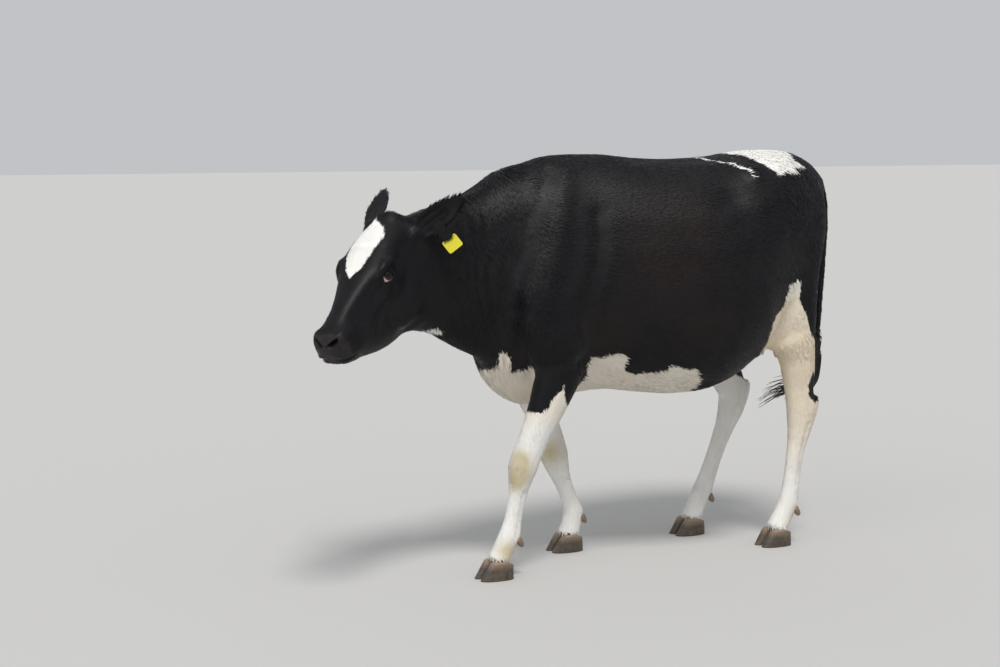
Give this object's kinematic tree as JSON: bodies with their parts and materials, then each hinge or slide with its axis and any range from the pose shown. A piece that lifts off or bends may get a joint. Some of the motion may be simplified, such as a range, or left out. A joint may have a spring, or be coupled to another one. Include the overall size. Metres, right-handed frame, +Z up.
{
  "type": "cow",
  "caption": "Black-and-white dairy cow standing in mid-stride, head lowered and turned to its left, with a plain ear tag.",
  "frame": {"origin": "centre of the bounding box on the floor, under the belly", "axes": "+X towards the tail, -X towards the head, -Y the cow's left side, +Z up"},
  "size_m": [2.2406, 0.756, 1.4928],
  "materials": {
    "black_coat": "short black hair with a sheen",
    "white_coat": "short white hair, dusty at the knees",
    "nose": "moist dark grey hairless skin",
    "eye": "wet dark brown",
    "horn": "grey-brown hoof horn",
    "udder_skin": "pale pink skin with fine hair",
    "switch_hair": "long coarse dark hair",
    "tag": "yellow moulded plastic"
  },
  "bodies": {
    "root": {"ear_left": "black_coat", "ear_right": "black_coat", "ear_tag_plate": "tag", "ear_tag_stud": "tag", "eye_left": "eye", "eye_right": "eye", "fore_left_claw_inner": "horn", "fore_left_claw_outer": "horn", "fore_left_dewclaw_inner": "horn", "fore_left_dewclaw_outer": "horn", "fore_left_forearm": "white_coat", "fore_left_pastern": "white_coat", "fore_left_shank": "white_coat", "fore_right_claw_inner": "horn", "fore_right_claw_outer": "horn", "fore_right_dewclaw_inner": "horn", "fore_right_dewclaw_outer": "horn", "fore_right_forearm": "white_coat", "fore_right_pastern": "white_coat", "fore_right_shank": "white_coat", "head": "black_coat", "hind_left_claw_inner": "horn", "hind_left_claw_outer": "horn", "hind_left_dewclaw_inner": "horn", "hind_left_dewclaw_outer": "horn", "hind_left_gaskin": "white_coat", "hind_left_pastern": "white_coat", "hind_left_shank": "white_coat", "hind_right_claw_inner": "horn", "hind_right_claw_outer": "horn", "hind_right_dewclaw_inner": "horn", "hind_right_dewclaw_outer": "horn", "hind_right_gaskin": "white_coat", "hind_right_pastern": "white_coat", "hind_right_shank": "white_coat", "muzzle": "nose", "neck": "black_coat", "tail": "black_coat", "tail_switch": "switch_hair", "teat_left_front": "udder_skin", "teat_left_rear": "udder_skin", "teat_right_front": "udder_skin", "teat_right_rear": "udder_skin", "trunk": "black_coat", "udder": "udder_skin"}
  },
  "joints": []
}
